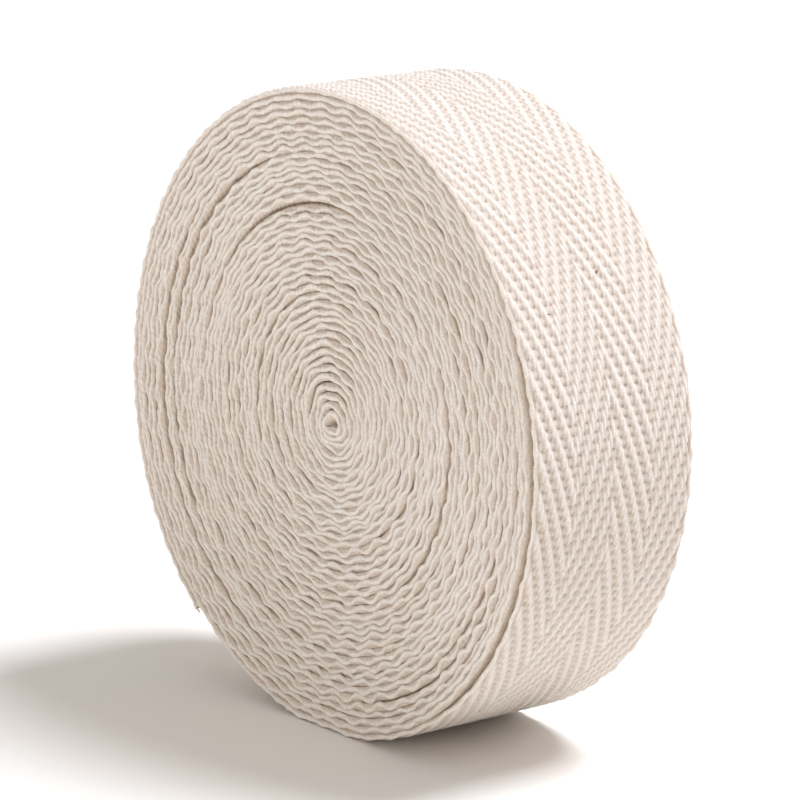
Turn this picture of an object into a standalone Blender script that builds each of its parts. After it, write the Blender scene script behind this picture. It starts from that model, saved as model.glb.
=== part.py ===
"""A roll of undyed cotton herringbone tape, standing on its rim.

Units are metres and +Z is up. The roll's axis lies along Y, its open spiral faces look
along -Y and +Y, and the origin is the bottom centre of its bounding box, under the small
flat spot on which the roll stands. Angles run from +X towards +Z, so they turn
counter-clockwise for someone who looks at the front face, the one at -Y. The tape is
wound outwards in that direction.
"""

import math

import bmesh
import bpy

# Driving sizes
TAPE_WIDTH = 0.030
ROLL_RADIUS = 0.0506
TURNS = 44
TURN_PITCH = ROLL_RADIUS / TURNS
END_ANGLE = math.radians(228)
FLAT_HALF_WIDTH = 0.007

# The wound outline: a soft roll sags a little to one side of the spot it stands on
SAG_ANGLE = math.radians(205)
SAG_SPREAD = math.radians(24)
SAG_HEIGHT = 0.0007
DOWN = math.radians(270)

# The faces
EYE_OFFSET_X = 0.0015
EYE_OFFSET_Z = 0.0004
EYE_RADIUS = 0.0015
EYE_DEPTH = 0.0026
EYE_RIM_DEPTH = 0.0007
PLAIN_GROOVE_DEPTH = 0.0007
GROOVE_RISE = 0.0007
GROOVE_END_EASE = math.radians(22)
TELESCOPE = 0.0003
TELESCOPE_WAVES = 1.5
EDGE_ROUNDING = 0.0004
LIP_CLEARANCE = 0.0001

# The loft
SECTIONS = 64
LEAST_SPACING = math.radians(1.6)
STEP_HALF_ANGLE = math.radians(0.25)
STEP_EASE = math.radians(12)
ANGLE_TOLERANCE = 1e-6

# Looser places between the turns: the share of the radius at which they lie, the arc in
# degrees along which they gape, and their depth there
GROOVES = (
    # share, from, to, depth
    (0.133, 75, 200, 0.0008),
    (0.210, 80, 140, 0.0010),
    (0.300, -85, 20, 0.0009),
    (0.380, -80, 10, 0.0006),
    (0.455, -78, 34, 0.0011),
    (0.530, 60, 170, 0.0005),
    (0.597, -62, 28, 0.0014),
    (0.648, 30, 228, 0.0013),
    (0.705, 0, 60, 0.0006),
    (0.762, 120, 222, 0.0011),
    (0.808, 70, 230, 0.0015),
    (0.858, 128, 265, 0.0014),
    (0.893, -92, 28, 0.0011),
    (0.935, 10, 50, 0.0006),
    (0.977, -86, 34, 0.0018),
)

COTTON_COLOUR = (0.76, 0.67, 0.55, 1.0)
COTTON_ROUGHNESS = 0.92


def clear_scene():
    """Remove what the startup scene holds."""
    for item in list(bpy.data.objects):
        bpy.data.objects.remove(item, do_unlink=True)


def cotton_material():
    """Undyed cotton, matt and cream."""
    material = bpy.data.materials.new("undyed_cotton")
    material.use_nodes = True
    shader = material.node_tree.nodes["Principled BSDF"]
    shader.inputs["Base Color"].default_value = COTTON_COLOUR
    shader.inputs["Roughness"].default_value = COTTON_ROUGHNESS
    shader.inputs["Metallic"].default_value = 0.0
    return material


def smooth(share):
    """An S-shaped step from 0 to 1."""
    share = min(max(share, 0.0), 1.0)
    return share * share * (3 - 2 * share)


def turned(angle, start):
    """How far the angle lies past the start, from 0 to a full turn."""
    return (angle - start) % math.tau


def end_step(angle):
    """The outer turn's rise: half a pitch inside just past the tape's end, half outside before it."""
    return TURN_PITCH * (turned(angle, END_ANGLE) / math.tau - 0.5)


def eased_step(angle):
    """The same rise with the jump spread out, for the turns under the outer one."""
    past = turned(angle, END_ANGLE - STEP_EASE)
    if past > 2 * STEP_EASE:
        return end_step(angle)
    before = end_step(END_ANGLE - STEP_EASE)
    after = end_step(END_ANGLE + STEP_EASE)
    return before + (after - before) * smooth(past / (2 * STEP_EASE))


def sag(angle):
    """The bulge beside the foot, as a smooth hump around SAG_ANGLE."""
    off = turned(angle, SAG_ANGLE - math.pi) - math.pi
    return SAG_HEIGHT * math.exp(-((off / SAG_SPREAD) ** 2))


def free_radius(angle):
    """The rim's radius at this angle before the roll is set down."""
    return ROLL_RADIUS + end_step(angle) + sag(angle)


def flat_half_angle():
    """Half the arc that the flat spot takes from the rim."""
    return math.asin(FLAT_HALF_WIDTH / free_radius(DOWN))


def outline_radius(angle):
    """The rim's radius at this angle, cut level at the flat spot."""
    radius = free_radius(angle)
    if math.sin(angle) >= 0:
        return radius
    foot = free_radius(DOWN) * math.cos(flat_half_angle())
    level = foot / -math.sin(angle)
    on_the_flat = abs(angle - DOWN) <= flat_half_angle() + ANGLE_TOLERANCE
    return level if on_the_flat else min(radius, level)


def turn_radius(share, angle):
    """The radius of a turn inside the roll, which follows the outline less and less inwards."""
    free = ROLL_RADIUS + sag(angle)
    pressed = min(outline_radius(angle) / (free + end_step(angle)), 1.0)
    radius = share * free + eased_step(angle) * share
    return radius * (1 - (1 - pressed) * share**4)


def groove_depth(groove, angle):
    """The depth of a groove at this angle: deep along its own arc and shallow elsewhere."""
    _, start, stop, depth = groove
    start = math.radians(start)
    length = math.radians(stop) - start
    past = turned(angle, start)
    rise = smooth(past / GROOVE_END_EASE)
    fall = smooth((length - past) / GROOVE_END_EASE)
    return PLAIN_GROOVE_DEPTH + (depth - PLAIN_GROOVE_DEPTH) * rise * fall


def telescope(share):
    """How far a turn has slipped along the axis, as in a roll that was wound by hand."""
    return TELESCOPE * math.sin(math.tau * TELESCOPE_WAVES * share) * (1 - share**6)


def groove_lip(share, angle):
    """The radius of a groove's outer lip, which stays inside the rounded edge of the rim."""
    inside = outline_radius(angle) - EDGE_ROUNDING - LIP_CLEARANCE
    return min(turn_radius(share, angle) + GROOVE_RISE, inside)


def face_rows(angle):
    """The rows of one face from the eye to the edge: share of the radius, radius, depth."""
    rows = [(EYE_RADIUS / ROLL_RADIUS, EYE_RADIUS, EYE_RIM_DEPTH)]
    for groove in GROOVES:
        share = groove[0]
        lip = groove_lip(share, angle)
        rows.append((share, lip - GROOVE_RISE, groove_depth(groove, angle)))
        rows.append((share, lip, 0.0))
    edge = outline_radius(angle)
    rows.append((1.0, edge - EDGE_ROUNDING, 0.0))
    rows.append((1.0, edge, EDGE_ROUNDING))
    return rows


def placed(share, radius, angle, along):
    """A point of the roll. Towards the eye, the turns are centred off the roll's own axis."""
    off_centre = 1 - share
    x = radius * math.cos(angle) + EYE_OFFSET_X * off_centre
    z = radius * math.sin(angle) + EYE_OFFSET_Z * off_centre
    return x, along + telescope(share), z


def section(angle):
    """One half section of the roll, over the front face, across the rim and back to the eye."""
    rows = face_rows(angle)
    half = TAPE_WIDTH / 2
    front = [placed(share, radius, angle, depth - half) for share, radius, depth in rows]
    back = [placed(share, radius, angle, half - depth) for share, radius, depth in rows]
    return front + back[::-1]


def section_angles():
    """Even angles, with the two sides of the tape's end and the borders of the flat spot."""
    flat_edge = flat_half_angle()
    even = [math.tau * index / SECTIONS for index in range(SECTIONS)]
    special = [
        END_ANGLE - STEP_HALF_ANGLE,
        END_ANGLE + STEP_HALF_ANGLE,
        DOWN - flat_edge,
        DOWN + flat_edge,
    ]
    kept = [
        angle
        for angle in even
        if all(abs(angle - other) > LEAST_SPACING for other in special)
    ]
    return sorted(kept + special)


def roll_mesh():
    """A loft through the half sections. They differ all round, so no turned profile gives them."""
    mesh = bpy.data.meshes.new("tape_roll")
    build = bmesh.new()
    columns = [[build.verts.new(point) for point in section(angle)] for angle in section_angles()]
    eye_height = TAPE_WIDTH / 2 - EYE_DEPTH
    front_eye = build.verts.new(placed(0.0, 0.0, 0.0, -eye_height))
    back_eye = build.verts.new(placed(0.0, 0.0, 0.0, eye_height))
    for column, following in zip(columns, columns[1:] + columns[:1]):
        build.faces.new((front_eye, following[0], column[0]))
        build.faces.new((back_eye, column[-1], following[-1]))
        for row in range(len(column) - 1):
            build.faces.new((column[row], following[row], following[row + 1], column[row + 1]))
    bmesh.ops.recalc_face_normals(build, faces=build.faces)
    stand_on_origin(build)
    build.to_mesh(mesh)
    build.free()
    return mesh


def stand_on_origin(build):
    """Move the points so that the origin is the bottom centre of their bounding box."""
    lows = [min(vert.co[axis] for vert in build.verts) for axis in range(3)]
    highs = [max(vert.co[axis] for vert in build.verts) for axis in range(3)]
    shift = (-(lows[0] + highs[0]) / 2, -(lows[1] + highs[1]) / 2, -lows[2])
    bmesh.ops.translate(build, vec=shift, verts=build.verts)


def make_tape_roll():
    """The wound tape as one closed solid, in the collection named for the object."""
    mesh = roll_mesh()
    mesh.materials.append(cotton_material())
    mesh.shade_smooth()
    mesh.set_sharp_from_angle(angle=math.radians(50))
    roll = bpy.data.objects.new("tape_roll", mesh)
    collection = bpy.data.collections.new("herringbone_tape_roll")
    bpy.context.scene.collection.children.link(collection)
    collection.objects.link(roll)
    return roll


clear_scene()
make_tape_roll()
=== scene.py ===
"""The look of a roll of undyed cotton herringbone tape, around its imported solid.

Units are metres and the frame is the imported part's: the roll's axis lies along Y, its front
face looks along -Y, and it stands on z = 0. Angles run from +X towards +Z. A turn number
counts from the eye outwards, and turn TURNS is the tape's cut end. A place is a length of
tape from the eye, and a depth is a distance across the tape from its front edge. A pick is
a row of weft, and an end is one warp yarn.
"""

import math

import bmesh
import bpy
import numpy as np
from mathutils import Matrix, Vector


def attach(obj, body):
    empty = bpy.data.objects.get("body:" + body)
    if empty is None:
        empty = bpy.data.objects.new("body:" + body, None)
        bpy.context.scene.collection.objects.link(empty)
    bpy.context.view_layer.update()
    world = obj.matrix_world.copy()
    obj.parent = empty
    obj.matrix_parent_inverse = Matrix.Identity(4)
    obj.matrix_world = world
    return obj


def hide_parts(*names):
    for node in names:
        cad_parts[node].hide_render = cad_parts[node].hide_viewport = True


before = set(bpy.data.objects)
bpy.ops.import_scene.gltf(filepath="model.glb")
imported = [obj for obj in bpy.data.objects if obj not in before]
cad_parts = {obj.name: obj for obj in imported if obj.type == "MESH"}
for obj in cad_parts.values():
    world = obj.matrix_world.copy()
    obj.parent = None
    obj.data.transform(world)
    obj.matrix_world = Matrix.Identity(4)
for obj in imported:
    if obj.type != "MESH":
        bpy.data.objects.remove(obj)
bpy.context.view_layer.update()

# Sizes of the roll, as in the part's source
TAPE_WIDTH = 0.030
ROLL_RADIUS = 0.0506
TURNS = 44
TURN_PITCH = ROLL_RADIUS / TURNS
END_ANGLE = math.radians(228)
FLAT_HALF_WIDTH = 0.007
SAG_ANGLE = math.radians(205)
SAG_SPREAD = math.radians(24)
SAG_HEIGHT = 0.0007
DOWN = math.radians(270)
TELESCOPE = 0.0003
TELESCOPE_WAVES = 1.5
FIRST_TURN = 0.9
LEAST_DOWNWARD = 1e-6
OUTLINE_STEPS = 7201
RULER_STEPS = 60001

# The winding's unevenness, the inner turns' shift off the roll's axis, and the edges' slip
WINDING_WAVES = (
    # waves round the roll, waves from the eye to the rim, phase, size in millimetres
    (2, 2.0, 0.4, 0.16),
    (3, -3.0, 2.1, 0.12),
    (5, 4.0, 4.4, 0.07),
    (7, -6.0, 1.3, 0.05),
    (1, 7.0, 5.2, 0.08),
)
EYE_WAVES = (
    # waves round the eye, phase, size in millimetres
    (2, 0.0, 0.26),
    (3, 1.6, 0.18),
)
EYE_SHARE = 0.08
WAVES_RISE = 6
WAVES_FALL = 7
SHIFT_RIGHT = (
    # shares of the radius, millimetres
    (0.0, 0.25, 0.45, 0.65, 1.0),
    (2.1, 1.6, 1.4, 0.5, 0.0),
)
SHIFT_UP = (
    # shares of the radius, millimetres
    (0.0, 0.2, 0.45, 0.65, 1.0),
    (-1.3, 0.4, 1.3, 0.6, 0.0),
)
SLIP_DRIFTS = (
    # size and spacing in millimetres
    (0.20, 60),
    (0.15, 11),
    (0.13, 2.7),
)
SLIP_ENDS = 1.002
SLIP_FALL = 30

# The weave: a two-and-two twill that turns round three times across the tape
BANDS = 4
ENDS = 56
END_PITCH = TAPE_WIDTH / ENDS
PICK = 0.00149
REPEAT_PICKS = 4
REPEAT = REPEAT_PICKS * PICK
WARP_RISE = 0.00029
WARP_RADIUS = 0.00027
WARP_HALF_WIDTH = 0.00031
UNEVEN_YARN = 0.00003
FLOAT_FLATNESS = 1.2
YARN_SPACING = 0.0045
YARN_LEAN = 0.00003
PIT_FLOOR = -0.00022
WEFT_RISE = 0.00005
WEFT_RADIUS = 0.00024
WEFT_HALF_LENGTH = 0.00050
OUT_OF_SIGHT = -1.0
HALF_THICKNESS = WARP_RISE + WARP_RADIUS

# The edges of the tape, which wave as the outer warp end goes over two picks and under two
EDGE_WAVE = 0.00028
SECOND_END_WAVE = 0.8
EYE_WAVE_SHARE = 0.7
WAVE_GROWTH = 0.3
WAVE_GROWTH_FROM = 0.03
WAVE_GROWTH_OVER = 0.42
RIM_WAVE_LOSS = 0.7
RIM_LOSS_FROM = 0.955
RIM_LOSS_OVER = 0.03
WAVE_SPACING = 0.013
FINE_WAVE_SPACING = 0.0041
LOOSE_SIDE = math.radians(-50)
LOOSE_GROWTH = 0.22
EDGE_RADIUS = 0.00040
EDGE_TIP = 0.00028
EDGE_THICKNESS = 0.00076
LOOP_SWELL = 0.00020
NECK_DEPTH = 0.00036
SHOULDER_DEPTH = 0.00045
EDGE_DEPTH = 0.0014
ROUGHNESS = 0.000045
ROUGH_SPACING = 0.0007
SWAY_SPACING = 0.0009
SHOULDER_SPACING = 0.0026
SHOULDER_UNEVENNESS = 0.35
BODY_HALF_THICKNESS = 0.00058
SHOULDER_GROWTH = 0.00012
OVERLAP = 0.00002
EYE_GROWTH = 0.00035
EYE_CLEARANCE = 0.0002
# Painted shade in the relief: how far below the crowns it is full, and its greatest share there
PAINTED_SHADE_DEPTH = 0.00045
RELIEF_PAINTED_SHADE = 0.95
CAP_CHAIN = 0.2
CORNER = math.sqrt(0.5)
RELAX_ROUNDS = 24
RELAX_SHARE = 0.45

# The meshes
EDGE_STEPS_PER_PICK = 8
STATIONS_PER_REPEAT = 10
FINE_STATIONS_PER_PICK = 4
SAMPLES_PER_END = 4
FINE_FROM_TURN = 42.95
NEAR_EYE_STEP = math.radians(8)
NEAR_EYE_LENGTH = 0.030
NEIGHBOUR_STATIONS = 2
LEAST_LENGTH = 1e-12
INNER_PIECES = 3
OUTER_PIECES = 3

# Looser places between turns: share of the radius, arc in degrees, and how far they open
GAPS = (
    (0.133, 70, 190, 0.00030),
    (0.212, 78, 140, 0.00030),
    (0.275, -40, 30, 0.00035),
    (0.445, -78, 34, 0.00050),
    (0.596, -66, 30, 0.00085),
    (0.640, 62, 215, 0.00070),
    (0.762, 18, 84, 0.00035),
    (0.765, 122, 225, 0.00060),
    (0.803, 96, 236, 0.00085),
    (0.857, -76, 32, 0.00040),
    (0.864, 126, 262, 0.00075),
    (0.893, -92, 4, 0.00055),
    (0.970, -68, 38, 0.00100),
)
GAP_REACH = 4.0
GAP_EASE = math.radians(30)
GAP_OUTWARD = 0.4

# The cut end's yarns, and specks of seed in the cotton
FRAY_ROOT = 0.0006
FRAY_LENGTHS = (0.0002, 0.0007)
FRAY_DROOP = 0.00035
FRAY_SWAY = 0.00022
FRAY_STATIONS = 5
FRAY_SIDES = 7
RIM_FLECKS = (
    # angle in degrees, distance from the front edge and half length in millimetres
    (32.65, 18.0, 0.40),
    (27.9, 5.6, 0.18),
    (26.7, 6.7, 0.24),
    (2.8, 6.5, 0.22),
    (47.0, 19.9, 0.20),
)
FLECK_SINK = 0.12
FACE_FLECK_DEPTH = 0.12
LEAST_FLECK_HEIGHT = 0.001
FLECK_PROPORTIONS = (1.0, 0.62, 0.3)
SCATTERED_ON_RIM = 40
SCATTERED_ON_FACE = 36
FACE_STRETCH = (0.1, 0.97)
RIM_DEPTHS = (1, 29)
RIM_SIZES = (0.10, 0.17)
FACE_SIZES = (0.09, 0.17)

# Where the random draws start. Those along an edge take one more for the back edge.
SLIP_SEED = 20
WAVE_SEED = 30
FINE_WAVE_SEED = 32
ROUGH_SEED = 40
SWAY_SEED = 42
LOOP_SEED = 44
SHOULDER_SEED = 46
YARN_SEED = 60
FRAY_SEED = 120
FLECK_SEED = 220

# The looks
YARN_COLOURS = (
    # value of the noise along the yarns, colour
    (0.25, (0.84, 0.785, 0.73, 1)),
    (0.5, (0.90, 0.845, 0.80, 1)),
    (0.75, (0.93, 0.885, 0.85, 1)),
)
PATCH_COLOUR = (0.83, 0.75, 0.67, 1)
GRAIN_COLOUR = (0.70, 0.62, 0.54, 1)
FUZZ_COLOUR = (0.70, 0.61, 0.52, 1)
TINTS = (
    # colour, scale along and across the tape, detail, roughness, noise from and to, strength
    (PATCH_COLOUR, (0.02, 0.09, 1.0), 1.0, 0.5, 0.45, 0.75, 0.5),
    (GRAIN_COLOUR, (1.6, 2.2, 1.0), 2.0, 0.6, 0.48, 0.8, 0.6),
    (FUZZ_COLOUR, (4.6, 4.6, 1.0), 2.0, 0.7, 0.42, 0.72, 0.7),
)
# Painted shade: the tint that multiplies the cream in the gaps between turns, on the edges' flanks and
# in the weave's pits
PAINTED_SHADE_TINT = (0.80, 0.73, 0.655, 1)
SEED_COLOUR = (0.29, 0.16, 0.09, 1)
FLOOR_COLOUR = (0.93, 0.908, 0.87, 1)
SKY_COLOUR = (1.0, 0.974, 0.956, 1)
SKY_STRENGTH = 0.53
TWIST_ANGLE = math.radians(52)
TWIST_BUMP = 0.00012
FIBRE_BUMP = 0.00026
BUMP_STRENGTH = 0.6

# A mix node's colour sockets, by number because several of them share a name
MIX_SHARE, MIX_FIRST, MIX_SECOND = 0, 6, 7
MIX_RESULT = 2

# The photo's view of the roll, and the lamps
VIEW_AZIMUTH = math.radians(52)
VIEW_ELEVATION = math.radians(13)
VIEW_DISTANCE = 0.688
LENS = 200.0
MIDDLE = Vector((0, 0, 0.0502))
FLOOR_REACH = 4.0
LAMPS = (
    # name, place to the camera's right, up and towards it, diameter, watts, colour
    ("key", (0.87, 1.68, -0.12), 0.8, 42.0, (0.888, 0.917, 1.0)),
    ("front", (-1.3, 0.3, 1.3), 0.6, 5.7, (1.0, 0.905, 0.795)),
)


def mm(value):
    """Millimetres as metres."""
    return value * 0.001


def smooth(share):
    """An S-shaped step from 0 to 1."""
    share = np.clip(share, 0.0, 1.0)
    return share * share * (3 - 2 * share)


def drift(place, spacing, seed):
    """A smooth random line between -1 and 1 along the tape, with one value each spacing."""
    count = int(np.max(place) / spacing) + 3
    values = np.random.default_rng(seed).uniform(-1, 1, count)
    at = np.clip(place / spacing, 0, count - 2)
    low = np.floor(at).astype(int)
    part = smooth(at - low)
    return values[low] * (1 - part) + values[low + 1] * part


# The spiral

def angle_of(turn):
    """The angle at this turn number."""
    return END_ANGLE + math.tau * (turn - TURNS)


def share_of(turn):
    """How far out the tape's outer side lies there, as a share of the roll's radius."""
    return (turn + 0.5) / TURNS


def sag(angle):
    """The bulge beside the foot, as a smooth hump."""
    off = (angle - SAG_ANGLE + math.pi) % math.tau - math.pi
    return SAG_HEIGHT * np.exp(-((off / SAG_SPREAD) ** 2))


def free_outline(angle):
    """The rim's radius before the roll is set down."""
    step = TURN_PITCH * (((angle - END_ANGLE) % math.tau) / math.tau - 0.5)
    return ROLL_RADIUS + step + sag(angle)


FOOT = math.sqrt(float(free_outline(np.array(DOWN))) ** 2 - FLAT_HALF_WIDTH**2)


def outline(angle):
    """The rim's radius, cut level at the flat spot."""
    downward = np.maximum(-np.sin(angle), LEAST_DOWNWARD)
    return np.minimum(free_outline(angle), FOOT / downward)


def roll_centre():
    """Where the spiral's own axis lies, so that the roll's box is centred on x = 0."""
    angles = np.linspace(0, math.tau, OUTLINE_STEPS)
    across = outline(angles) * np.cos(angles)
    return -(across.min() + across.max()) / 2, FOOT


CENTRE_X, CENTRE_Z = roll_centre()


def gap_push(turn):
    """How far the looser places push a turn outwards or inwards."""
    push = np.zeros_like(turn)
    for share, start, stop, opening in GAPS:
        start, stop = math.radians(start), math.radians(stop)
        near = share * TURNS - 0.5
        first = near - ((near - TURNS - (start - END_ANGLE) / math.tau) % 1.0)
        past = (turn - first) % 1.0
        count = np.round(turn - first - past)
        length = stop - start
        along = past * math.tau
        amount = opening * smooth(along / GAP_EASE) * smooth((length - along) / GAP_EASE)
        outwards = GAP_OUTWARD * np.exp(-(count - 1).clip(0) / GAP_REACH)
        inwards = -(1 - GAP_OUTWARD) * np.exp(count.clip(None, 0) / GAP_REACH)
        push += amount * np.where(count >= 1, outwards, inwards)
    return push


def wobble(turn):
    """Slow unevenness of the winding, the same in neighbouring turns but for a little."""
    angle, share = angle_of(turn), share_of(turn)
    total = sum(
        mm(size) * np.cos(round_ * angle + math.tau * out * share + phase)
        for round_, out, phase, size in WINDING_WAVES
    )
    near_eye = np.exp(-((share / EYE_SHARE) ** 2))
    eye = sum(mm(size) * np.cos(round_ * angle + phase) for round_, phase, size in EYE_WAVES)
    return total * smooth(share * WAVES_RISE) * smooth((1 - share) * WAVES_FALL) + near_eye * eye


def outer_radius(turn):
    """The radius of the tape's outer side from the spiral's own centre."""
    angle, share = angle_of(turn), share_of(turn)
    radius = share * (ROLL_RADIUS + sag(angle)) + wobble(turn) + gap_push(turn)
    level = FOOT / np.maximum(-np.sin(angle), LEAST_DOWNWARD)
    pressed = np.minimum(level / free_outline(angle), 1.0)
    return radius * (1 - (1 - pressed) * np.minimum(share, 1.0) ** 4)


def spiral_shift(turn):
    """The inner turns lie a little off the roll's own axis: to the right, and then up."""
    share = share_of(turn)
    return mm(np.interp(share, *SHIFT_RIGHT)), mm(np.interp(share, *SHIFT_UP))


def spun(turn, radius, along):
    """Points at these turn numbers and radii, and this far along the roll's axis."""
    angle = angle_of(turn)
    right, up = spiral_shift(turn)
    x = CENTRE_X + right + radius * np.cos(angle)
    z = CENTRE_Z + up + radius * np.sin(angle)
    return np.stack([x, np.broadcast_to(along, x.shape), z], -1)


def tape_ruler():
    """Turn numbers and the length of tape wound from the eye up to each."""
    turn = np.linspace(FIRST_TURN, TURNS, RULER_STEPS)
    middle = spun(turn, outer_radius(turn) - HALF_THICKNESS, 0.0)
    steps = np.linalg.norm(np.diff(middle, axis=0), axis=1)
    return turn, np.concatenate([[0.0], np.cumsum(steps)])


RULER_TURN, RULER_PLACE = tape_ruler()
TAPE_LENGTH = float(RULER_PLACE[-1])


def turn_at(place):
    """The turn number at this length along the tape."""
    return np.interp(place, RULER_PLACE, RULER_TURN)


def place_at(turn):
    """The length along the tape at this turn number."""
    return np.interp(turn, RULER_TURN, RULER_PLACE)


# The weave

def float_places():
    """Where each warp end's floats are centred, in picks: one pick on from its neighbour's."""
    per_band = ENDS // BANDS
    places = [0.5]
    for end in range(1, ENDS):
        towards = -1 if (end // per_band) % 2 == 0 else 1
        places.append(places[-1] + towards)
    return np.array(places)


FLOAT_PLACES = float_places()


def over(place, end):
    """From 1 where the warp end lies on top of the picks to -1 where it lies below them."""
    phase = math.tau * (place / PICK - FLOAT_PLACES[end]) / REPEAT_PICKS
    return np.tanh(FLOAT_FLATNESS * np.cos(phase)) / math.tanh(FLOAT_FLATNESS)


def slip(place, side):
    """How far an edge stands out of its face or back from it."""
    turn = turn_at(place)
    share = share_of(turn)
    slow = TELESCOPE * np.sin(math.tau * TELESCOPE_WAVES * share) * (1 - share**6)
    uneven = sum(
        mm(size) * drift(place, mm(spacing), SLIP_SEED + 2 * step + side)
        for step, (size, spacing) in enumerate(SLIP_DRIFTS)
    )
    return slow + uneven * smooth((SLIP_ENDS - share) * SLIP_FALL)


def wave_size(place, side):
    """How far the edge waves to each side of the tape's middle."""
    turn = turn_at(place)
    share, angle = share_of(turn), angle_of(turn)
    loose = 1 + LOOSE_GROWTH * np.cos(angle - LOOSE_SIDE)
    uneven = 1 + 0.4 * drift(place, WAVE_SPACING, WAVE_SEED + side)
    uneven += 0.3 * drift(place, FINE_WAVE_SPACING, FINE_WAVE_SEED + side)
    inside = EYE_WAVE_SHARE + WAVE_GROWTH * smooth((share - WAVE_GROWTH_FROM) / WAVE_GROWTH_OVER)
    outside = 1 - RIM_WAVE_LOSS * smooth((share - RIM_LOSS_FROM) / RIM_LOSS_OVER)
    return EDGE_WAVE * loose * uneven * inside * outside


def pressed_wave(turn, radius, wave):
    """The edge's wave once touching turns have pressed each other flatter."""
    for _ in range(RELAX_ROUNDS):
        height = radius + wave
        above = np.interp(turn + 1, turn, height, right=1.0)
        below = np.interp(turn - 1, turn, height, left=-1.0)
        out = np.maximum(height + EDGE_THICKNESS - above, 0)
        inn = np.maximum(below + EDGE_THICKNESS - height, 0)
        wave = wave + RELAX_SHARE * (inn - out)
    return wave


def half_spaces(turn):
    """How thick the tape may be inwards and outwards of its middle, deep between its edges, so
    that it meets its neighbours there. The first turn closes on the eye, and the last one has
    its own thickness outwards."""
    middle = outer_radius(turn) - HALF_THICKNESS
    inner = outer_radius(np.maximum(turn - 1, FIRST_TURN)) - HALF_THICKNESS
    outer = outer_radius(np.minimum(turn + 1, TURNS)) - HALF_THICKNESS
    below = np.where(turn - 1 < FIRST_TURN, middle - EYE_CLEARANCE, 0.5 * (middle - inner) + OVERLAP)
    above = np.where(turn + 1 > TURNS, BODY_HALF_THICKNESS, 0.5 * (outer - middle) + OVERLAP)
    return np.maximum(below, BODY_HALF_THICKNESS), np.maximum(above, BODY_HALF_THICKNESS)


class Edge:
    """The waving edge of the whole tape, on the front face (side 0) or the back one (side 1)."""

    def __init__(self, side):
        self.side = side
        self.ends = (0, 1) if side == 0 else (ENDS - 1, ENDS - 2)
        self.place = np.arange(0, TAPE_LENGTH + PICK, PICK / EDGE_STEPS_PER_PICK)
        turn = np.interp(self.place, RULER_PLACE, RULER_TURN)
        turn += np.maximum(self.place - TAPE_LENGTH, 0) / (math.tau * ROLL_RADIUS)
        middle = outer_radius(turn) - HALF_THICKNESS
        size = wave_size(self.place, side)
        self.wave = pressed_wave(turn, middle, size * over(self.place, self.ends[0]))
        self.second = SECOND_END_WAVE * size * over(self.place, self.ends[1])

    def offsets(self, place):
        """The outer and second warp ends' distances from the tape's middle."""
        return (
            np.interp(place, self.place, self.wave),
            np.interp(place, self.place, self.second),
        )

    def rows(self, place):
        """The edge's rows, from deep on the inner side round the tip to deep on the outer side."""
        turn = turn_at(place)
        middle = outer_radius(turn) - HALF_THICKNESS
        below, above = half_spaces(turn)
        first, second = self.offsets(place)
        loops = np.cos(math.pi * (place / PICK - FLOAT_PLACES[self.ends[0]]))
        loops = loops * (0.8 + 0.4 * drift(place, 2 * PICK, LOOP_SEED + self.side))
        rough = ROUGHNESS * drift(place, ROUGH_SPACING, ROUGH_SEED + self.side)
        radius = EDGE_RADIUS + 0.5 * LOOP_SWELL * loops + rough
        first = first + ROUGHNESS * drift(place, SWAY_SPACING, SWAY_SEED + self.side)
        tip = EDGE_TIP + 0.5 * LOOP_SWELL * (1 + loops)
        inwards = 1 if self.side == 0 else -1
        base = -TAPE_WIDTH / 2 * inwards + slip(place, self.side)
        end_0 = 0.5 * END_PITCH
        zero = np.zeros_like(place)

        def row(depth, centre, away, painted_shade):
            """A row this deep from the edge, beside a line this far from the tape's middle."""
            along = base + inwards * depth
            point = self.offset_point(turn, middle + centre, away, along)
            return point, depth + zero, painted_shade + zero

        def flank(side, space):
            """The rows of one side of the edge, inner (-1) or outer (1), from the tip inwards."""
            in_eye = (turn < FIRST_TURN + 1) & (side < 0)
            grown = BODY_HALF_THICKNESS + np.where(in_eye, EYE_GROWTH, SHOULDER_GROWTH)
            shoulder = np.minimum(space, grown)
            seed = SHOULDER_SEED + self.side + side
            uneven = SHOULDER_UNEVENNESS * drift(place, SHOULDER_SPACING, seed)
            closing = SHOULDER_DEPTH * (1 + uneven)
            # Each row's last number is its share of painted shade, small at the tip and full deep in
            # the gap between turns
            return [
                row(end_0 - CORNER * tip, first, side * CORNER * radius, 0.2),
                row(end_0, first, side * radius, 0.5),
                row(NECK_DEPTH, 0.5 * first, side * (0.4 * radius + 0.6 * shoulder), 0.85),
                row(closing, 0.1 * second, side * shoulder, 1.0),
                row(EDGE_DEPTH, zero, side * space, 1.0),
            ]

        # The tip's row takes a little painted shade too
        return flank(-1, below)[::-1] + [row(end_0 - tip, first, zero, 0.1)] + flank(1, above)

    @staticmethod
    def offset_point(turn, radius, away, along):
        """Points this far out from a waving line, square to it."""
        line = spun(turn, radius, along)
        step = np.gradient(line, axis=0)
        step /= np.linalg.norm(step, axis=1, keepdims=True)
        out = np.stack([step[:, 2], np.zeros(len(step)), -step[:, 0]], -1)
        away = np.broadcast_to(away, turn.shape)
        return line + out * away[:, None]


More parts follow.
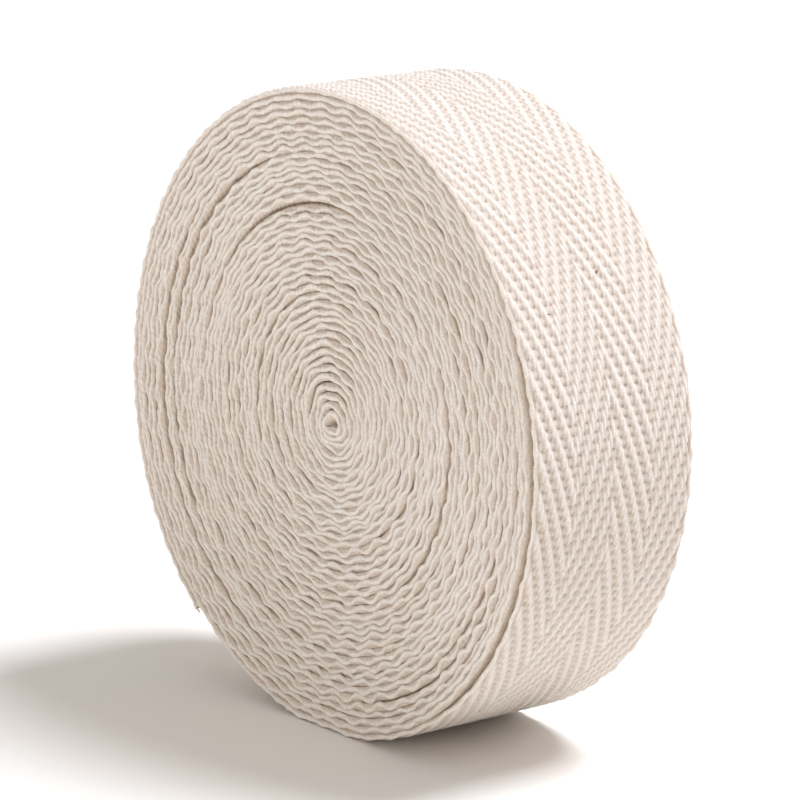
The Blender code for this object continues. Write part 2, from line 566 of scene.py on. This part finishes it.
def relief_rows(place, edges):
    """The rows of the outer side between the two edges, with each float, pick and pit."""
    turn = turn_at(place)
    middle = outer_radius(turn) - HALF_THICKNESS
    pick = np.round(place / PICK)
    beside = np.clip(np.abs(place - pick * PICK) / WEFT_HALF_LENGTH, 0, 1)
    crown = WEFT_RADIUS * np.sqrt(1 - beside**2)
    first = [edge.offsets(place)[0] for edge in edges]
    slips = [slip(place, side) for side in (0, 1)]
    lift = np.stack([over(place, end) for end in range(ENDS)])
    uneven = np.stack([drift(place, YARN_SPACING, YARN_SEED + end) for end in range(ENDS)])
    phase = math.tau * (place[None] / PICK - FLOAT_PLACES[:, None]) / REPEAT_PICKS
    centre = (np.arange(ENDS)[:, None] + 0.5) * END_PITCH - YARN_LEAN * np.sin(phase)
    centre[0], centre[-1] = 0.5 * END_PITCH, (ENDS - 0.5) * END_PITCH
    warp = WARP_RISE * lift + UNEVEN_YARN * uneven
    warp[0], warp[-1] = first
    weft = np.stack([-WEFT_RISE * over(pick * PICK, end) for end in range(ENDS)]) + crown
    weft = np.where(crown > 0, weft, OUT_OF_SIGHT)
    rows = []
    for sample in range(SAMPLES_PER_END * ENDS - 2 * (SAMPLES_PER_END // 2) + 1):
        across = sample + SAMPLES_PER_END // 2
        depth = across * END_PITCH / SAMPLES_PER_END
        height = np.full_like(place, PIT_FLOOR)
        at = across // SAMPLES_PER_END
        for end in range(max(at - 1, 0), min(at + 2, ENDS)):
            off = np.abs(depth - centre[end]) / WARP_HALF_WIDTH
            yarn = warp[end] + WARP_RADIUS * np.sqrt(np.maximum(1 - off * off, 0))
            height = np.maximum(height, np.where(off < 1, yarn, PIT_FLOOR))
        nearest = min(across // SAMPLES_PER_END, ENDS - 1)
        other = min(max((across - 1) // SAMPLES_PER_END, 0), ENDS - 1)
        over_warp = 0.5 * (weft[nearest] + weft[other])
        # The weft sinks out of sight towards the edges, which have their own rows
        shown = smooth(min(depth, TAPE_WIDTH - depth) / END_PITCH - 0.5)
        height = np.maximum(height, np.where(shown > 0, over_warp + shown - 1, PIT_FLOOR))
        near = depth / TAPE_WIDTH
        along = depth - TAPE_WIDTH / 2 + slips[0] * (1 - near) + slips[1] * near
        # Painted shade: the deeper a point lies below the crowns, the browner its colour
        painted_shade = RELIEF_PAINTED_SHADE * np.clip((HALF_THICKNESS - height) / PAINTED_SHADE_DEPTH, 0, 1)
        rows.append((spun(turn, middle + height, along), depth + np.zeros_like(place), painted_shade))
    return rows


# Meshes

def zip_cap(front, back, depths):
    """Triangles between two rows of point numbers that start and end together, by their depths."""
    faces = []
    i = j = 0
    while i < len(front) - 1 or j < len(back) - 1:
        ahead = depths[front[i + 1]] if i < len(front) - 1 else math.inf
        behind = depths[back[j + 1]] if j < len(back) - 1 else math.inf
        if ahead <= behind:
            faces.append((front[i], front[i + 1], back[j]))
            i += 1
        else:
            faces.append((front[i], back[j + 1], back[j]))
            j += 1
    return faces


def end_cap(points, depths, split):
    """The triangles of one end of a strip, with a chain of new points close to the inner side,
    which keeps the long ones out of the pits of the relief."""
    ring = list(range(len(points)))
    outer = ring[split[0] : split[1] + 1]
    inner = (ring[split[1] :] + ring[: split[0] + 1])[::-1]
    over_depths = depths[outer[1:-1]]
    under = np.stack(
        [np.interp(over_depths, depths[inner], points[inner, axis]) for axis in range(3)], -1
    )
    added = under + CAP_CHAIN * (points[outer[1:-1]] - under)
    chain = [outer[0], *range(len(ring), len(ring) + len(added)), outer[-1]]
    faces = []
    for k in range(len(outer) - 1):
        faces.append((outer[k], outer[k + 1], chain[k + 1]))
        faces.append((outer[k], chain[k + 1], chain[k]))
    faces += zip_cap(chain, inner, np.concatenate([depths, over_depths]))
    return [face for face in faces if len(set(face)) == 3], added, over_depths


def side_normals(points):
    """The normals of a strip's sides, taken across neighbouring rows and stations."""
    across = np.roll(points, -1, 1) - np.roll(points, 1, 1)
    normals = np.cross(across, np.gradient(points, axis=0))
    return normals / np.maximum(np.linalg.norm(normals, axis=-1, keepdims=True), LEAST_LENGTH)


def link_object(name, data):
    """A new object in the scene."""
    made = bpy.data.objects.new(name, data)
    bpy.context.scene.collection.objects.link(made)
    return made


def fill_mesh(mesh, points, quads, triangles):
    """Put points, smooth four-sided faces and then flat triangles into an empty mesh, and return
    the faces' corners."""
    corners = np.concatenate([quads.ravel(), triangles.ravel()])
    totals = np.concatenate([np.full(len(quads), 4), np.full(len(triangles), 3)])
    mesh.vertices.add(len(points))
    mesh.vertices.foreach_set("co", points.astype(np.float32).ravel())
    mesh.loops.add(len(corners))
    mesh.loops.foreach_set("vertex_index", corners.astype(np.int32))
    mesh.polygons.add(len(totals))
    mesh.polygons.foreach_set("loop_start", (np.cumsum(totals) - totals).astype(np.int32))
    mesh.polygons.foreach_set("loop_total", totals.astype(np.int32))
    mesh.update(calc_edges=True)
    mesh.polygons.foreach_set("use_smooth", totals == 4)
    return corners


def add_attributes(mesh, corners, places, depths, painted_shades):
    """Places and depths in millimetres as a UV map, and how deep each point lies, as its share of
    painted shade.
    """
    layer = mesh.uv_layers.new(name="Tape", do_init=False)
    flat = np.stack([places[corners], depths[corners]], -1) * 1000
    layer.uv.foreach_set("vector", flat.astype(np.float32).ravel())
    painted_shade = mesh.attributes.new("painted_shade", "FLOAT", "POINT")
    painted_shade.data.foreach_set("value", painted_shades.astype(np.float32))


def strip_object(name, rows, places, split, real):
    """A closed strip of tape from its rows. The tips' row numbers are in split, and real leaves
    out the stations that are there only for the neighbours' sake."""
    points, depths, painted_shades = (np.stack(values, 1) for values in zip(*rows))
    points[..., 2] = np.maximum(points[..., 2], 0.0)
    normals = side_normals(points)
    points, depths, painted_shades, normals, places = (
        values[real] for values in (points, depths, painted_shades, normals, places)
    )
    stations, around, _ = points.shape
    index = np.arange(stations * around).reshape(stations, around)
    quads = np.stack(
        [index[:-1], np.roll(index[:-1], -1, 1), np.roll(index[1:], -1, 1), index[1:]], -1
    ).reshape(-1, 4)
    all_points = [points.reshape(-1, 3)]
    all_depths = [depths.ravel()]
    all_places = [np.repeat(places, around)]
    triangles, cap_normals = [], []
    count = stations * around
    for station, beside, turned in ((0, 1, -1), (-1, -2, 1)):
        faces, added, added_depths = end_cap(points[station], depths[station], split)
        numbers = np.concatenate([index[station], count + np.arange(len(added))])
        triangles.append(numbers[np.array(faces)][:, ::turned])
        outwards = points[station].mean(0) - points[beside].mean(0)
        cap_normals.append(np.tile(outwards / np.linalg.norm(outwards), (3 * len(faces), 1)))
        all_points.append(added)
        all_depths.append(added_depths)
        all_places.append(np.full(len(added), places[station]))
        count += len(added)
    mesh = bpy.data.meshes.new(name)
    corners = fill_mesh(mesh, np.concatenate(all_points), quads, np.concatenate(triangles))
    # The caps' new points take full painted shade
    painted_shades = np.concatenate([painted_shades.ravel(), np.ones(count - painted_shades.size)])
    add_attributes(mesh, corners, np.concatenate(all_places), np.concatenate(all_depths), painted_shades)
    side = normals.reshape(-1, 3)[quads.ravel()]
    mesh.normals_split_custom_set(np.concatenate([side] + cap_normals))
    return link_object(name, mesh)


def mirrored(rows):
    """The back edge's rows, measured from the front edge and in the other order."""
    return [(point, TAPE_WIDTH - depth, painted_shade) for point, depth, painted_shade in rows[::-1]]


def inner_strip(name, places, edges, real):
    """A length of the wound tape under the outer turn."""
    front = edges[0].rows(places)
    back = mirrored(edges[1].rows(places))
    rows = front + back
    tip = len(front) // 2
    return strip_object(name, rows, places, (tip, len(front) + tip), real)


def outer_strip(name, places, edges, real):
    """A length of the outer turn, with its whole outer side in relief."""
    front = edges[0].rows(places)
    back = mirrored(edges[1].rows(places))
    tip = len(front) // 2
    relief = relief_rows(places, edges)
    rows = front[: tip + 2] + relief + back[tip - 1 :]
    last_tip = tip + 2 + len(relief) + 1
    return strip_object(name, rows, places, (tip, last_tip), real)


def inner_places():
    """Even places along the tape, closer together near the eye."""
    fine_from = PICK * round(place_at(FINE_FROM_TURN) / PICK)
    step = REPEAT / STATIONS_PER_REPEAT
    even_from = fine_from - step * math.floor((fine_from - NEAR_EYE_LENGTH) / step)
    tight = np.arange(FIRST_TURN, turn_at(even_from), NEAR_EYE_STEP / math.tau)
    near_eye = place_at(tight)
    near_eye = near_eye[near_eye < even_from - 0.5 * step]
    even = np.arange(even_from, fine_from + 0.5 * step, step)
    return np.concatenate([near_eye, even]), fine_from


def make_tape(edges):
    """The tape in a few lengths, each with its length: fine in the outer turn, plainer under it."""
    inner, fine_from = inner_places()
    step = PICK / FINE_STATIONS_PER_PICK
    outer = np.arange(fine_from, TAPE_LENGTH + 0.25 * step, step)
    outer[-1] = min(outer[-1], TAPE_LENGTH)
    pieces = []
    for places, maker, parts, name in (
        (inner, inner_strip, INNER_PIECES, "wound_tape"),
        (outer, outer_strip, OUTER_PIECES, "outer_turn"),
    ):
        cuts = np.linspace(0, len(places) - 1, parts + 1).round().astype(int)
        for part, (low, high) in enumerate(zip(cuts[:-1], cuts[1:]), 1):
            before = min(low, NEIGHBOUR_STATIONS)
            after = min(len(places) - 1 - high, NEIGHBOUR_STATIONS)
            here = places[low - before : high + after + 1]
            real = slice(before, len(here) - after)
            piece = maker(f"{name}_{part}", here, edges, real)
            pieces.append((piece, float(places[high] - places[low])))
    return pieces


# Small things on the tape

def tubes_object(name, lines, radii, sides):
    """Closed tubes in one mesh, along lines that run round the roll, one row of points each."""
    lines, radii = np.asarray(lines), np.asarray(radii)
    count, stations, _ = lines.shape
    step = np.gradient(lines, axis=1)
    step /= np.linalg.norm(step, axis=-1, keepdims=True)
    axis = np.broadcast_to([0.0, 1.0, 0.0], step.shape)
    out = np.cross(axis, step)
    around = np.linspace(0, math.tau, sides, endpoint=False)
    ring = np.cos(around)[:, None] * out[:, :, None] + np.sin(around)[:, None] * axis[:, :, None]
    points = lines[:, :, None] + radii[:, :, None, None] * ring
    index = np.arange(count * stations * sides).reshape(count, stations, sides)
    a, b = index[:, :-1], index[:, 1:]
    quads = np.stack([a, np.roll(a, -1, 2), np.roll(b, -1, 2), b], -1).reshape(-1, 4)
    fans = []
    for k in range(1, sides - 1):
        fans.append(np.stack([index[:, 0, 0], index[:, 0, k + 1], index[:, 0, k]], -1))
        fans.append(np.stack([index[:, -1, 0], index[:, -1, k], index[:, -1, k + 1]], -1))
    mesh = bpy.data.meshes.new(name)
    fill_mesh(mesh, points.reshape(-1, 3), quads, np.concatenate(fans))
    return link_object(name, mesh)


def make_fray():
    """The cut ends of the warp yarns, which stand a little out of the tape's end."""
    rng = np.random.default_rng(FRAY_SEED)
    share = np.linspace(0, 1, FRAY_STATIONS)
    lines, radii = [], []
    for end in range(ENDS):
        past = -FRAY_ROOT + (FRAY_ROOT + rng.uniform(*FRAY_LENGTHS)) * share
        turn = TURNS + past / (math.tau * ROLL_RADIUS)
        height = WARP_RISE * over(TAPE_LENGTH + past, end) * (1 - 0.6 * share)
        droop = rng.uniform(-0.2, 1.0) * FRAY_DROOP * share**2
        aside = rng.uniform(-1, 1) * FRAY_SWAY * share**2
        along = (end + 0.5) * END_PITCH - TAPE_WIDTH / 2 + aside
        lines.append(spun(turn, outer_radius(turn) - HALF_THICKNESS + height - droop, along))
        radii.append(WARP_RADIUS * (0.9 - 0.45 * share**2))
    return tubes_object("cut_end_yarns", lines, radii, FRAY_SIDES)


def add_fleck(build, at, towards, outwards, size):
    """A flat grain at this point, longest towards one side and thin outwards."""
    rows = [Vector(towards).normalized(), Vector(outwards).normalized()]
    rows.insert(1, rows[1].cross(rows[0]))
    turn = Matrix(rows).transposed().to_4x4()
    scale = Matrix.Diagonal([part * size for part in FLECK_PROPORTIONS] + [1.0])
    place = Matrix.Translation(Vector(at)) @ turn @ scale
    bmesh.ops.create_icosphere(build, subdivisions=1, radius=1.0, matrix=place)


def add_rim_flecks(build, rng):
    """The specks that show on the rim, and small ones all round it."""
    on_rim = list(RIM_FLECKS)
    for _ in range(SCATTERED_ON_RIM):
        on_rim.append((rng.uniform(0, 360), rng.uniform(*RIM_DEPTHS), rng.uniform(*RIM_SIZES)))
    for degrees, depth, size in on_rim:
        angle = math.radians(degrees)
        past = (END_ANGLE - angle) % math.tau
        turn = np.array([TURNS - past / math.tau])
        radius = outer_radius(turn) - mm(FLECK_SINK)
        at = spun(turn, radius, mm(depth) - TAPE_WIDTH / 2)[0]
        if at[2] > LEAST_FLECK_HEIGHT:
            towards = [rng.uniform(-1, 1) for _ in range(3)]
            add_fleck(build, at, towards, (math.cos(angle), 0.0, math.sin(angle)), mm(size))


def add_face_flecks(build, rng, edge):
    """Small specks along one edge of the tape."""
    place = np.sort(rng.uniform(*FACE_STRETCH, SCATTERED_ON_FACE)) * TAPE_LENGTH
    first = edge.offsets(place)[0]
    inwards = 1 if edge.side == 0 else -1
    along = slip(place, edge.side) - inwards * (TAPE_WIDTH / 2 - mm(FACE_FLECK_DEPTH))
    turn = turn_at(place)
    for at in spun(turn, outer_radius(turn) - HALF_THICKNESS + first, along):
        aside = (rng.uniform(-1, 1), 0.0, rng.uniform(-1, 1))
        add_fleck(build, at, aside, (0.0, -inwards, 0.0), mm(rng.uniform(*FACE_SIZES)))


def make_flecks(edges):
    """Specks of cotton seed on the rim and on both faces."""
    rng = np.random.default_rng(FLECK_SEED)
    build = bmesh.new()
    add_rim_flecks(build, rng)
    for edge in edges:
        add_face_flecks(build, rng, edge)
    mesh = bpy.data.meshes.new("seed_flecks")
    build.to_mesh(mesh)
    build.free()
    return link_object("seed_flecks", mesh)


# Materials

def node(tree, kind, inputs, **settings):
    """A new node with these settings, and with a value or a link for each of these inputs."""
    made = tree.nodes.new(kind)
    for name, value in settings.items():
        setattr(made, name, value)
    for name, value in inputs.items():
        if isinstance(value, bpy.types.NodeSocket):
            tree.links.new(value, made.inputs[name])
        else:
            made.inputs[name].default_value = value
    return made


def noise(tree, where, stretch, scale=1.0, detail=2.0, rough=0.5):
    """A noise over the tape's places and depths in millimetres, each times its stretch."""
    mapping = node(tree, "ShaderNodeMapping", {"Vector": where, "Scale": stretch})
    inputs = {"Vector": mapping.outputs["Vector"], "Scale": scale, "Detail": detail, "Roughness": rough}
    return node(tree, "ShaderNodeTexNoise", inputs).outputs["Fac"]


def ramp(tree, value, stops):
    """The colours that a ramp with these stops gives for the value."""
    made = node(tree, "ShaderNodeValToRGB", {"Fac": value})
    elements = made.color_ramp.elements
    elements[0].position, elements[0].color = stops[0]
    elements[1].position, elements[1].color = stops[-1]
    for position, colour in stops[1:-1]:
        element = elements.new(position)
        element.color = colour
    return made.outputs["Color"]


def between(tree, value, low, high, most=1.0):
    """A share from 0 at the low value to the most at the high one."""
    return ramp(tree, value, [(low, (0, 0, 0, 1)), (high, (most, most, most, 1))])


def mixed(tree, first, second, share, blend="MIX"):
    """The first colour, with this share of the second."""
    inputs = {MIX_SHARE: share, MIX_FIRST: first, MIX_SECOND: second}
    made = node(tree, "ShaderNodeMix", inputs, data_type="RGBA", blend_type=blend)
    return made.outputs[MIX_RESULT]


def bump(tree, distance, inputs):
    """The normal of a surface that a height lifts by up to this distance."""
    made = node(tree, "ShaderNodeBump", {"Strength": BUMP_STRENGTH, "Distance": distance, **inputs})
    return made.outputs["Normal"]


def cotton_colour(tree, where):
    """The cotton's uneven cream, with painted shade that makes it browner in the hollows."""
    yarns = noise(tree, where, (0.12, 1.9, 1.0), detail=3.0, rough=0.6)
    colour = ramp(tree, yarns, YARN_COLOURS)
    for tint, stretch, detail, rough, low, high, most in TINTS:
        spots = noise(tree, where, stretch, detail=detail, rough=rough)
        colour = mixed(tree, colour, tint, between(tree, spots, low, high, most))
    # Painted shade: the cream is multiplied by a brown tint where the points lie deep in gaps and pits
    painted_shade = node(tree, "ShaderNodeAttribute", {}, attribute_name="painted_shade")
    deep = between(tree, painted_shade.outputs["Fac"], 0.1, 1.0)
    return mixed(tree, colour, PAINTED_SHADE_TINT, deep, "MULTIPLY")


def cotton_normal(tree, where):
    """The twist of the yarns and their stray fibres, as fine bumps."""
    slant = node(tree, "ShaderNodeMapping", {"Vector": where, "Rotation": (0, 0, TWIST_ANGLE)})
    inputs = {"Scale": 0.42, "Distortion": 1.2, "Detail": 1.0, "Detail Scale": 1.5}
    inputs["Vector"] = slant.outputs["Vector"]
    twist = node(tree, "ShaderNodeTexWave", inputs, wave_type="BANDS", wave_profile="SIN")
    twist.bands_direction = "X"
    fibres = noise(tree, where, (1.0, 3.2, 1.0), scale=3.5, detail=4.0, rough=0.65)
    twisted = bump(tree, TWIST_BUMP, {"Height": twist.outputs["Fac"]})
    return bump(tree, FIBRE_BUMP, {"Height": fibres, "Normal": twisted})


def new_material(name):
    """A new material and its shader."""
    material = bpy.data.materials.new(name)
    material.use_nodes = True
    return material, material.node_tree.nodes["Principled BSDF"]


def cotton_material():
    """Undyed cotton: matt and cream, with its yarns' twist, stray fibres, uneven colour and painted
    shade in its hollows.
    """
    material, shader = new_material("undyed_cotton_tape")
    shader.inputs["Roughness"].default_value = 0.9
    shader.inputs["Specular IOR Level"].default_value = 0.25
    shader.inputs["Sheen Weight"].default_value = 0.06
    shader.inputs["Sheen Roughness"].default_value = 0.5
    shader.inputs["Subsurface Weight"].default_value = 0.5
    shader.inputs["Subsurface Radius"].default_value = (1.0, 0.9, 0.8)
    shader.inputs["Subsurface Scale"].default_value = 0.0005
    tree = material.node_tree
    where = node(tree, "ShaderNodeUVMap", {}, uv_map="Tape").outputs["UV"]
    tree.links.new(cotton_colour(tree, where), shader.inputs["Base Color"])
    tree.links.new(cotton_normal(tree, where), shader.inputs["Normal"])
    return material


def seed_material():
    """Bits of cotton seed coat, brown and matt."""
    material, shader = new_material("cotton_seed")
    shader.inputs["Base Color"].default_value = SEED_COLOUR
    shader.inputs["Roughness"].default_value = 0.8
    return material


def paper_material():
    """The pale, matt surface of the floor."""
    material, shader = new_material("pale_floor")
    shader.inputs["Base Color"].default_value = FLOOR_COLOUR
    shader.inputs["Roughness"].default_value = 0.95
    shader.inputs["Specular IOR Level"].default_value = 0.1
    return material


# The studio

def make_floor():
    """A plain floor under the roll."""
    mesh = bpy.data.meshes.new("floor")
    sides = ((-1, -1), (1, -1), (1, 1), (-1, 1))
    corners = [(FLOOR_REACH * x, FLOOR_REACH * y, 0) for x, y in sides]
    mesh.from_pydata(corners, [], [(0, 1, 2, 3)])
    mesh.materials.append(paper_material())
    floor = link_object("floor", mesh)


def area_light(name, place, size, power, colour):
    """A soft round lamp that shines on the roll."""
    data = bpy.data.lights.new(name, "AREA")
    data.shape = "DISK"
    data.size = size
    data.energy = power
    data.color = colour
    lamp = link_object(name, data)
    lamp.location = place
    lamp.rotation_euler = (MIDDLE - place).to_track_quat("-Z", "Y").to_euler()


def from_camera(right, up, near):
    """A point this far from the roll to the camera's right, straight up, and towards the camera."""
    ahead = Vector((math.sin(VIEW_AZIMUTH), -math.cos(VIEW_AZIMUTH), 0))
    aside = Vector((math.cos(VIEW_AZIMUTH), math.sin(VIEW_AZIMUTH), 0))
    return MIDDLE + aside * right + ahead * near + Vector((0, 0, up))


def make_camera():
    """The camera, at the photo's angle to the roll."""
    data = bpy.data.cameras.new("camera")
    data.lens = LENS
    data.sensor_width = 36
    camera = link_object("camera", data)
    level = VIEW_DISTANCE * math.cos(VIEW_ELEVATION)
    camera.location = from_camera(0, VIEW_DISTANCE * math.sin(VIEW_ELEVATION), level)
    camera.rotation_euler = (MIDDLE - camera.location).to_track_quat("-Z", "Y").to_euler()
    bpy.context.scene.camera = camera


def make_sky():
    """A soft white sky all round."""
    world = bpy.data.worlds.new("soft_white")
    world.use_nodes = True
    background = world.node_tree.nodes["Background"]
    background.inputs["Color"].default_value = SKY_COLOUR
    background.inputs["Strength"].default_value = SKY_STRENGTH
    bpy.context.scene.world = world


def make_studio():
    """The floor, the camera, the lamps and the sky."""
    make_floor()
    make_camera()
    for name, place, size, power, colour in LAMPS:
        area_light(name, from_camera(*place), size, power, colour)
    make_sky()
    bpy.context.scene.view_settings.view_transform = "Standard"


def dress(piece, material):
    """Give a piece its material and tie it to the roll."""
    piece.data.materials.append(material)
    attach(piece, "root")


cotton = cotton_material()
edges = [Edge(0), Edge(1)]
tape = make_tape(edges)
fray = make_fray()
dress(fray, cotton)
dress(make_flecks(edges), seed_material())
for piece, length in tape:
    dress(piece, cotton)
    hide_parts("tape_roll")

make_studio()
